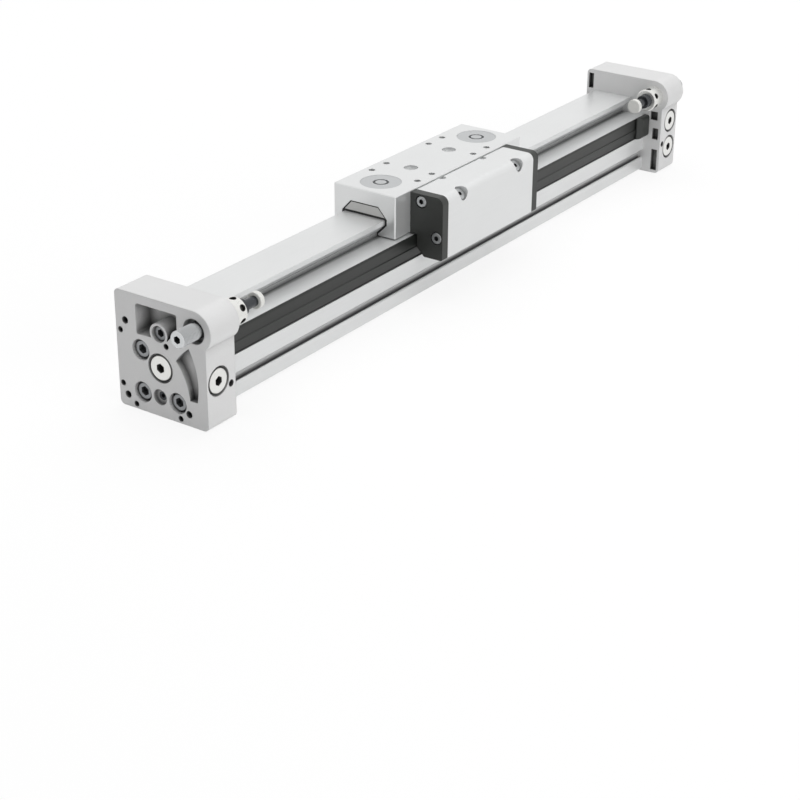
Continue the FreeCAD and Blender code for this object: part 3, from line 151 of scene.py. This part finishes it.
def surface(name, colour, metallic, roughness, grain_mm, stretch=(1, 1, 1), tone=0.06, bump_mm=0.01,
            rough_spread=0.08, round_mm=0.0, recess_mm=0.0, painted_shade_power=1.3, own_recesses=False):
    """A finish whose tone, gloss and relief vary with one grain, in the object's own millimetres. Light sees
    its edges rounded by round_mm. Its colour gets painted shade within recess_mm of other walls, or only of
    the piece's own walls when own_recesses is set; a higher power makes that shade darker."""
    made = bpy.data.materials.new(name)
    made.use_nodes = True
    tree = made.node_tree
    tree.nodes.clear()
    output = add_node(tree, "ShaderNodeOutputMaterial")
    place = add_node(tree, "ShaderNodeTexCoord")
    stretched = add_node(tree, "ShaderNodeMapping", values={"Scale": stretch},
                         links={"Vector": place.outputs["Object"]})
    grain = add_node(tree, "ShaderNodeTexNoise", values={"Scale": grain_size(grain_mm), "Detail": 3.0},
                     links={"Vector": stretched.outputs["Vector"]})
    patches = add_node(tree, "ShaderNodeTexNoise", values={"Scale": grain_size(PATCH_MM), "Detail": 2.0},
                       links={"Vector": place.outputs["Object"]})
    both = add_node(tree, "ShaderNodeMath", {"operation": "ADD"},
                    links={0: grain.outputs["Fac"], 1: patches.outputs["Fac"]})
    low = [c * (1 - tone) for c in colour] + [1.0]
    high = [min(1.0, c * (1 + tone)) for c in colour] + [1.0]
    spread = add_node(tree, "ShaderNodeMapRange", values={"From Min": LOW_SUM, "From Max": HIGH_SUM},
                      links={"Value": both.outputs["Value"]})
    paint = add_node(tree, "ShaderNodeMix", {"data_type": "RGBA"}, values={6: low, 7: high},
                     links={0: spread.outputs["Result"]})
    gloss = add_node(tree, "ShaderNodeMapRange", values={
        "From Min": LOW_SUM, "From Max": HIGH_SUM,
        "To Min": roughness - rough_spread / 2, "To Max": roughness + rough_spread / 2,
    }, links={"Value": both.outputs["Value"]})
    relief = add_node(tree, "ShaderNodeBump", values={"Strength": 1.0, "Distance": bump_mm * MM},
                      links={"Height": grain.outputs["Fac"]})
    if round_mm:
        edge = add_node(tree, "ShaderNodeBevel", {"samples": 4}, values={"Radius": round_mm * MM})
        tree.links.new(edge.outputs["Normal"], relief.inputs["Normal"])
    painted = paint.outputs[2]
    # Painted shade: the colour is darkened towards walls that lie within recess_mm.
    if recess_mm:
        near = add_node(tree, "ShaderNodeAmbientOcclusion", {"samples": 8, "only_local": own_recesses},
                        values={"Distance": recess_mm * MM})
        openness = add_node(tree, "ShaderNodeMath", {"operation": "POWER"}, values={1: painted_shade_power},
                            links={0: near.outputs["AO"]})
        painted_shade = add_node(tree, "ShaderNodeMix", {"data_type": "RGBA", "blend_type": "MULTIPLY"},
                         values={0: 1.0}, links={6: painted, 7: openness.outputs["Value"]})
        painted = painted_shade.outputs[2]
    shader = add_node(tree, "ShaderNodeBsdfPrincipled", values={"Metallic": metallic}, links={
        "Base Color": painted, "Roughness": gloss.outputs["Result"], "Normal": relief.outputs["Normal"],
    })
    tree.links.new(shader.outputs["BSDF"], output.inputs["Surface"])
    return made


def finish(names, material):
    """Gives CAD nodes a material in the slot they already have."""
    for name in names:
        for holder in NODES[name].material_slots:
            holder.material = material


def both_ends(*stems):
    return [f"{stem}_{end}" for stem in stems for end in ENDS]


def seen_directly(tree):
    """1 for rays from the camera, off shiny surfaces and through clear ones, 0 for the light they scatter."""
    ray = add_node(tree, "ShaderNodeLightPath")
    shiny = add_node(tree, "ShaderNodeMath", {"operation": "MAXIMUM"},
                     links={0: ray.outputs["Is Camera Ray"], 1: ray.outputs["Is Glossy Ray"]})
    clear = add_node(tree, "ShaderNodeMath", {"operation": "MAXIMUM"},
                     links={0: shiny.outputs["Value"], 1: ray.outputs["Is Transmission Ray"]})
    return clear.outputs["Value"]


def new_piece(name, mesh, materials, body, replaced):
    """Turns a finished bmesh into a piece at the origin that stands for CAD nodes and rides on their body."""
    bmesh.ops.recalc_face_normals(mesh, faces=mesh.faces)
    data = bpy.data.meshes.new(name)
    mesh.to_mesh(data)
    mesh.free()
    for material in materials:
        data.materials.append(material)
    piece = bpy.data.objects.new(name, data)
    bpy.context.scene.collection.objects.link(piece)
    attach(piece, body)
    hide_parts(*replaced)
    return piece


def drawn(section, start_x, end_x):
    """A section of (y, z) points drawn out along X."""
    mesh = bmesh.new()
    corners = [mesh.verts.new((start_x, y, z)) for y, z in section]
    face = bmesh.ops.contextual_create(mesh, geom=corners)["faces"][0]
    grown = bmesh.ops.extrude_face_region(mesh, geom=[face], use_keep_orig=True)["geom"]
    moved = [g for g in grown if isinstance(g, bmesh.types.BMVert)]
    bmesh.ops.translate(mesh, verts=moved, vec=(end_x - start_x, 0, 0))
    return mesh


def turned(points, centre, segments):
    """A profile of (x, radius) points turned about the X axis through centre."""
    mesh = bmesh.new()
    ring = [mesh.verts.new((x, centre.y, centre.z + radius)) for x, radius in points]
    edges = [mesh.edges.new(pair) for pair in zip(ring, ring[1:])]
    bmesh.ops.spin(mesh, geom=ring + edges, cent=(0, centre.y, centre.z), axis=(1, 0, 0),
                   angle=2 * math.pi, steps=segments, use_merge=True)
    bmesh.ops.remove_doubles(mesh, verts=mesh.verts, dist=1e-6)
    return mesh


def hex_socket(mesh, centre, face_x, depth, across_flats):
    """Closes a turned body's open end at face_x with a flat ring and a hexagonal socket of signed depth."""
    rim = [e for e in mesh.edges if e.is_boundary]
    radius = across_flats / math.sqrt(3)
    turns = [math.radians(60 * i + 30) for i in range(6)]
    corners = [mesh.verts.new((face_x, centre.y + radius * math.cos(a), centre.z + radius * math.sin(a)))
               for a in turns]
    hexagon = [mesh.edges.new(pair) for pair in zip(corners, corners[1:] + corners[:1])]
    bmesh.ops.triangle_fill(mesh, use_beauty=True, edges=rim + hexagon)
    walls = bmesh.ops.extrude_edge_only(mesh, edges=hexagon)["geom"]
    floor = [g for g in walls if isinstance(g, bmesh.types.BMVert)]
    bmesh.ops.translate(mesh, verts=floor, vec=(depth, 0, 0))
    bmesh.ops.contextual_create(mesh, geom=[g for g in walls if isinstance(g, bmesh.types.BMEdge)
                                            and all(v in floor for v in g.verts)])


class CYLINDER_OT_barrel(bpy.types.Operator):
    """Clear anodised finish with fine drawing lines along the barrel"""
    bl_idname = "cylinder.barrel"
    bl_label = "Barrel"

    def execute(self, context):
        # Anodised extrusion: satin, with drawing lines along X, and painted shade in its slots and inner
        # corners. Real lines are 0.1 mm apart and are drawn 0.8 mm apart, so that they show.
        extrusion = surface("clear_anodised_extrusion", colours().extrusion, 0.4, 0.36, 0.8,
                            stretch=(0.02, 1, 1), tone=0.03, bump_mm=0.006, round_mm=sizes().edge_round / MM,
                            recess_mm=4.0, painted_shade_power=1.9, own_recesses=True)
        finish(["profile_barrel"], extrusion)
        return {"FINISHED"}


class CYLINDER_OT_caps(bpy.types.Operator):
    """Blasted die-cast finish of the end caps"""
    bl_idname = "cylinder.caps"
    bl_label = "End caps"

    def execute(self, context):
        # Die-cast aluminium, shot blasted: dull and evenly grained. The shot is 0.5 mm and shows as a fine
        # bite. The pockets and counterbores get painted shade.
        casting = surface("blasted_die_cast_aluminium", colours().casting, 0.2, 0.52, 0.5, tone=0.04,
                          bump_mm=0.02, round_mm=0.9, recess_mm=7.0, painted_shade_power=1.6, own_recesses=True)
        finish(both_ends("end_cap"), casting)
        return {"FINISHED"}


class CYLINDER_OT_band(bpy.types.Operator):
    """Straight cover band with a raised middle and two grooves"""
    bl_idname = "cylinder.cover_band"
    bl_label = "Cover band"

    def execute(self, context):
        # Extruded polyurethane: smooth, dark and a little shiny, with long drawing marks. Real marks are
        # 0.2 mm apart and are drawn 1.2 mm apart, so that they show.
        polyurethane = surface("extruded_polyurethane", colours().band, 0.0, 0.42, 1.2, stretch=(0.03, 1, 1),
                               tone=0.12, bump_mm=0.01)
        barrel_low, barrel_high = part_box("profile_barrel")
        band_low, band_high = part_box("cover_band")
        face_y = barrel_low.y
        floor_y = band_high.y
        low_z, high_z = band_low.z, band_high.z
        height = high_z - low_z
        groove, ridge = sizes().band_groove, sizes().band_ridge
        skin = face_y + ridge
        # Heights on the section, as shares of the band's height.
        lip_top, flat_start, flat_end, crease = 0.08, 0.14, 0.47, 0.5
        # From the lower edge up: a sunk lip, the flat lower half, the crease and the upper half.
        section = [
            (floor_y, low_z),
            (skin + groove, low_z),
            (skin + groove, low_z + lip_top * height),
            (skin, low_z + flat_start * height),
            (face_y + 0.1 * ridge, low_z + flat_end * height),
            (skin + 0.4 * groove, low_z + crease * height),
            (skin + 0.2 * groove, high_z - lip_top * height),
            (skin + groove, high_z),
            (floor_y, high_z),
        ]
        mesh = drawn(section, band_low.x, band_high.x)
        new_piece("cover_band_straight", mesh, [polyurethane], "frame", ["cover_band"])
        return {"FINISHED"}


class CYLINDER_OT_screws(bpy.types.Operator):
    """Plated screws, plugs and lock nuts"""
    bl_idname = "cylinder.fasteners"
    bl_label = "Screws and plugs"

    def execute(self, context):
        # Zinc plated steel: grey and satin, with faint clouds, 1.5 mm wide, and painted shade in the sockets.
        zinc = surface("zinc_plated_steel", colours().plated, 0.85, 0.36, 1.5, tone=0.1, bump_mm=0.004,
                       round_mm=0.2, recess_mm=4.0, own_recesses=True)
        finish(both_ends("end_plate_screws", "piston_bolt") + ["driver_screws", "cover_screws"], zinc)
        # Phosphated steel: grey and dull, with painted shade in the sockets. Its crystals, 0.02 mm wide,
        # can't show, so only their 1.5 mm clouds are drawn.
        phosphated = surface("phosphated_steel", colours().phosphated, 0.8, 0.42, 1.5, tone=0.1,
                             bump_mm=0.006, round_mm=0.2, recess_mm=4.0)
        finish(both_ends("cap_screws", "rail_screw"), phosphated)
        # Blackened steel: dark and dull, with oil in patches 1.5 mm wide.
        blackened = surface("blackened_steel", colours().blackened, 0.7, 0.4, 1.5, tone=0.1, bump_mm=0.004)
        finish(both_ends("cushion_needle"), blackened)
        # Nickel plate over turned brass: bright and smooth, with painted shade in the socket. The plate is
        # uneven by 1 mm waves that barely show.
        nickel = surface("nickel_plated_brass", colours().nickel, 0.8, 0.3, 1.0, tone=0.03, bump_mm=0.002,
                         round_mm=0.2, recess_mm=5.0, painted_shade_power=2.0, own_recesses=True)
        finish(both_ends("end_port_plug", "side_port_plug", "shock_nut"), nickel)
        # Turned steel discs: grey and silky. Real turning marks are 0.1 mm apart and too fine to draw, so
        # the grain is even and 0.6 mm wide.
        disc = surface("turned_steel", colours().hardened, 0.7, 0.36, 0.6, tone=0.04, bump_mm=0.005,
                       round_mm=0.2)
        finish(["guide_adjusters"], disc)
        return {"FINISHED"}


class CYLINDER_OT_shock_absorbers(bpy.types.Operator):
    """Threaded shock absorber bodies with their rods and buffers"""
    bl_idname = "cylinder.shock_absorbers"
    bl_label = "Shock absorbers"

    def execute(self, context):
        # Nickel plated steel: bright, with painted shade in the bottoms of the thread between its crests, and
        # the plate uneven by 0.8 mm waves.
        steel = surface("nickel_plated_steel", colours().nickelled, 0.95, 0.2, 0.8, tone=0.05, bump_mm=0.003,
                        recess_mm=3.0, painted_shade_power=2.0)
        # Blackened and ground steel: dark and smooth. Real grinding marks are 0.05 mm apart and are drawn
        # 0.8 mm wide.
        rod = surface("ground_blackened_steel", colours().blackened, 0.8, 0.25, 0.8, tone=0.05, bump_mm=0.003)
        finish(both_ends("shock_rod"), rod)
        # Moulded polyurethane: matt, nearly white, with 1.5 mm flow marks.
        buffer = surface("moulded_polyurethane", colours().buffer, 0.0, 0.5, 1.5, tone=0.03, bump_mm=0.01)
        finish(both_ends("shock_buffer"), buffer)
        for end, side in ENDS.items():
            low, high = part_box(f"shock_body_{end}")
            rod_low, rod_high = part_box(f"shock_rod_{end}")
            centre = (low + high) / 2
            outer = (high.z - low.z) / 2
            inner = (rod_high.z - rod_low.z) / 2 + 0.05 * MM
            toward = -side
            rear, front = (low.x, high.x) if side < 0 else (high.x, low.x)
            rod_end = rod_low.x if side < 0 else rod_high.x
            bottom = rod_end - toward * sizes().rod_room
            deep = outer - sizes().thread_depth
            half_pitch = sizes().thread_pitch / 2
            turns = int(abs(front - rear) / sizes().thread_pitch) - 1
            profile = [(rear, deep - sizes().thread_depth), (rear, deep), (rear + toward * half_pitch, outer)]
            for i in range(1, turns):
                x = rear + toward * 2 * half_pitch * i
                profile += [(x, deep), (x + toward * half_pitch, outer)]
            profile += [(front - toward * half_pitch, outer), (front, deep)]
            profile += [(front, inner), (bottom, inner), (bottom, 0)]
            mesh = turned(profile, centre, sizes().turning_segments)
            hex_socket(mesh, centre, rear, toward * sizes().socket_depth, sizes().socket_width)
            # The body's front, which stands out in front of the lock nut, gets the rod's dark finish.
            nut_low, nut_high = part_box(f"shock_nut_{end}")
            nut_front = nut_high.x if side < 0 else nut_low.x
            for face in mesh.faces:
                if (face.calc_center_median().x - nut_front) * toward > 0:
                    face.material_index = 1
            new_piece(f"threaded_body_{end}", mesh, [steel, rod], "frame", [f"shock_body_{end}"])
        return {"FINISHED"}


class CYLINDER_OT_carriage(bpy.types.Operator):
    """Carriage, its slide block, strips and wipers"""
    bl_idname = "cylinder.carriage"
    bl_label = "Carriage"

    def execute(self, context):
        # Machined block, finely blasted and clear anodised: pale and silky, so it shows what is round it.
        # The grit is 0.2 mm and is drawn 0.6 mm wide.
        silky = surface("clear_anodised_block", colours().carriage, 0.65, 0.3, 0.6, tone=0.02, bump_mm=0.002,
                        rough_spread=0.05, round_mm=sizes().edge_round / MM)
        finish(["carriage"], silky)
        # Machined acetal, pale or dark: waxy. Real cutter marks are 0.3 mm apart and are drawn 1.5 mm wide.
        acetal = surface("machined_acetal", colours().acetal, 0.0, 0.42, 1.5, tone=0.03, bump_mm=0.01)
        finish(["guide_insert"] + both_ends("wear_ring"), acetal)
        dark = surface("dark_acetal", colours().dark_acetal, 0.0, 0.4, 1.5, tone=0.1, bump_mm=0.01)
        finish(["guide_strip_front", "guide_strip_back"], dark)
        # Nitrile rubber: matt black with a fine moulded skin, 0.1 mm and drawn 0.6 mm wide.
        rubber = surface("nitrile_rubber", colours().rubber, 0.0, 0.62, 0.6, tone=0.15, bump_mm=0.02)
        finish(both_ends("end_wiper", "plug_seals", "bore_seal", "piston_seal"), rubber)
        return {"FINISHED"}


class CYLINDER_OT_housing(bpy.types.Operator):
    """Housing at the carriage's side, its plates and the band clamps"""
    bl_idname = "cylinder.housing"
    bl_label = "Driver housing"

    def execute(self, context):
        # Extruded cover, clear anodised: as pale as the carriage, with drawing lines along X, 0.1 mm apart
        # and drawn 0.8 mm apart.
        cover = surface("clear_anodised_cover", colours().carriage, 0.4, 0.36, 0.8, stretch=(0.03, 1, 1),
                        tone=0.02, bump_mm=0.006, round_mm=sizes().edge_round / MM)
        finish(["driver_cover"], cover)
        # Glass-filled nylon: near black, with the mould's eroded texture, 0.2 mm and drawn 0.6 mm wide.
        nylon = surface("glass_filled_nylon", colours().plate, 0.0, 0.5, 0.6, tone=0.15, bump_mm=0.03,
                        round_mm=0.4)
        finish(both_ends("end_plate", "band_clamp", "band_shoe"), nylon)
        return {"FINISHED"}


class CYLINDER_OT_inside(bpy.types.Operator):
    """Pieces inside the barrel and the housing"""
    bl_idname = "cylinder.inside"
    bl_label = "Inside"

    def execute(self, context):
        # Milled aluminium, not anodised: cutter marks about 0.8 mm apart.
        milled = surface("milled_aluminium", colours().machined, 0.95, 0.34, 0.8, stretch=(1, 0.2, 1),
                         tone=0.06, bump_mm=0.01, round_mm=0.2)
        finish(both_ends("piston_head") + ["piston_yoke", "driver_block"], milled)
        # Turned brass: yellow and bright. Real turning marks are 0.1 mm apart and are drawn 0.8 mm wide.
        brass = surface("turned_brass", colours().brass, 1.0, 0.26, 0.8, tone=0.08, bump_mm=0.004)
        finish(both_ends("cushion_spigot"), brass)
        # Cold rolled strip: grey and bright, with rolling lines along X, 0.1 mm and drawn 0.8 mm apart.
        strip = surface("rolled_spring_steel", colours().spring_steel, 1.0, 0.28, 0.8,
                        stretch=(0.02, 1, 1), tone=0.05, bump_mm=0.003)
        finish(["inner_band"], strip)
        # Ferrite powder in nylon: dark brown-grey and dull, with 0.1 mm grains drawn 0.8 mm wide.
        magnet = surface("bonded_ferrite", colours().magnet, 0.1, 0.6, 0.8, tone=0.12, bump_mm=0.02)
        finish(both_ends("piston_magnet"), magnet)
        return {"FINISHED"}


class CYLINDER_OT_studio(bpy.types.Operator):
    """Pale floor, soft lights and the camera"""
    bl_idname = "cylinder.studio"
    bl_label = "Studio"

    def execute(self, context):
        scene = context.scene
        # The floor reaches 6 m each way and lies 0.2 mm under the part, so that no faces coincide.
        mesh = bmesh.new()
        bmesh.ops.create_grid(mesh, x_segments=1, y_segments=1, size=6.0)
        bmesh.ops.translate(mesh, verts=mesh.verts, vec=(0, 0, -0.2 * MM))
        data = bpy.data.meshes.new("floor")
        mesh.to_mesh(data)
        mesh.free()
        floor = bpy.data.objects.new("floor", data)
        scene.collection.objects.link(floor)
        # White paper: it takes the shadow and throws light up at the object, and the camera and shiny
        # metal see it as nearly white, because four fifths of what they see is its own even white.
        paper = bpy.data.materials.new("white_paper")
        paper.use_nodes = True
        tree = paper.node_tree
        tree.nodes.clear()
        matt = add_node(tree, "ShaderNodeBsdfDiffuse", values={"Color": (*hex_colour("#EDEDED"), 1.0)})
        glow = add_node(tree, "ShaderNodeEmission", values={"Strength": 1.05})
        share = add_node(tree, "ShaderNodeMath", {"operation": "MULTIPLY"}, values={1: 0.8},
                         links={0: seen_directly(tree)})
        mix = add_node(tree, "ShaderNodeMixShader", links={
            0: share.outputs["Value"], 1: matt.outputs["BSDF"], 2: glow.outputs["Emission"]})
        output = add_node(tree, "ShaderNodeOutputMaterial")
        tree.links.new(mix.outputs["Shader"], output.inputs["Surface"])
        data.materials.append(paper)

        world = bpy.data.worlds.new("studio")
        scene.world = world
        world.use_nodes = True
        tree = world.node_tree
        tree.nodes.clear()
        # The room gives a faint light of its own, and the camera and shiny metal see it as white.
        room = add_node(tree, "ShaderNodeBackground",
                        values={"Color": (*hex_colour("#D0D0D0"), 1.0), "Strength": 0.15})
        white = add_node(tree, "ShaderNodeBackground", values={"Color": (1, 1, 1, 1), "Strength": 1.0})
        mix = add_node(tree, "ShaderNodeMixShader", links={
            0: seen_directly(tree), 1: room.outputs["Background"], 2: white.outputs["Background"]})
        output = add_node(tree, "ShaderNodeOutputWorld")
        tree.links.new(mix.outputs["Shader"], output.inputs["Surface"])

        # Soft square lamps: name, place and side in metres, and power in watts. They light the part but
        # aren't seen themselves, so the pale tops don't clip where they would mirror a lamp.
        for name, place, size, power in (
            ("overhead", (0.4, 0.35, 2.0), 3.6, 65.0),
            ("slot_side", (-0.45, -2.0, 0.6), 1.6, 23.0),
        ):
            lamp = bpy.data.lights.new(name, "AREA")
            lamp.size = size
            lamp.energy = power
            holder = bpy.data.objects.new(name, lamp)
            holder.location = place
            holder.rotation_euler = (-Vector(place)).to_track_quat("-Z", "Y").to_euler()
            holder.visible_camera = False
            holder.visible_glossy = False
            scene.collection.objects.link(holder)

        # The camera looks at the cylinder along its length, from the slot's side and from above.
        azimuth, elevation, roll = math.radians(-55.5), math.radians(26.22), math.radians(0.46)
        back = Vector((math.sin(azimuth) * math.cos(elevation), -math.cos(azimuth) * math.cos(elevation),
                       math.sin(elevation)))
        right = Vector((0, 0, 1)).cross(back).normalized()
        up = back.cross(right)
        turned_right = math.cos(roll) * right + math.sin(roll) * up
        turned_up = math.cos(roll) * up - math.sin(roll) * right
        view = bpy.data.cameras.new("camera")
        view.sensor_width = 36.0
        view.lens = 84.28
        view.clip_end = 20.0
        camera = bpy.data.objects.new("camera", view)
        camera.matrix_world = Matrix.Translation((-0.9324, -0.6098, 0.4532)) @ Matrix(
            (turned_right, turned_up, back)).transposed().to_4x4()
        scene.collection.objects.link(camera)
        scene.camera = camera
        scene.view_settings.view_transform = "Standard"
        return {"FINISHED"}


class CYLINDER_PT_panel(bpy.types.Panel):
    bl_idname = "CYLINDER_PT_panel"
    bl_label = "Rodless cylinder"
    bl_space_type = "VIEW_3D"
    bl_region_type = "UI"
    bl_category = "Cylinder"

    def draw(self, context):
        for step in STEPS:
            self.layout.operator(step.bl_idname)


STEPS = (
    CYLINDER_OT_barrel, CYLINDER_OT_caps, CYLINDER_OT_band, CYLINDER_OT_screws, CYLINDER_OT_shock_absorbers,
    CYLINDER_OT_carriage, CYLINDER_OT_housing, CYLINDER_OT_inside, CYLINDER_OT_studio,
)
CLASSES = (CylinderColours, CylinderSizes, *STEPS, CYLINDER_PT_panel)


def register():
    for item in CLASSES:
        bpy.utils.register_class(item)
    bpy.types.Scene.cylinder_colours = PointerProperty(type=CylinderColours)
    bpy.types.Scene.cylinder_sizes = PointerProperty(type=CylinderSizes)


def unregister():
    del bpy.types.Scene.cylinder_sizes
    del bpy.types.Scene.cylinder_colours
    for item in reversed(CLASSES):
        bpy.utils.unregister_class(item)


def main():
    register()
    bpy.ops.cylinder.barrel()
    bpy.ops.cylinder.caps()
    bpy.ops.cylinder.cover_band()
    bpy.ops.cylinder.fasteners()
    bpy.ops.cylinder.shock_absorbers()
    bpy.ops.cylinder.carriage()
    bpy.ops.cylinder.housing()
    bpy.ops.cylinder.inside()
    bpy.ops.cylinder.studio()


if __name__ == "__main__":
    main()
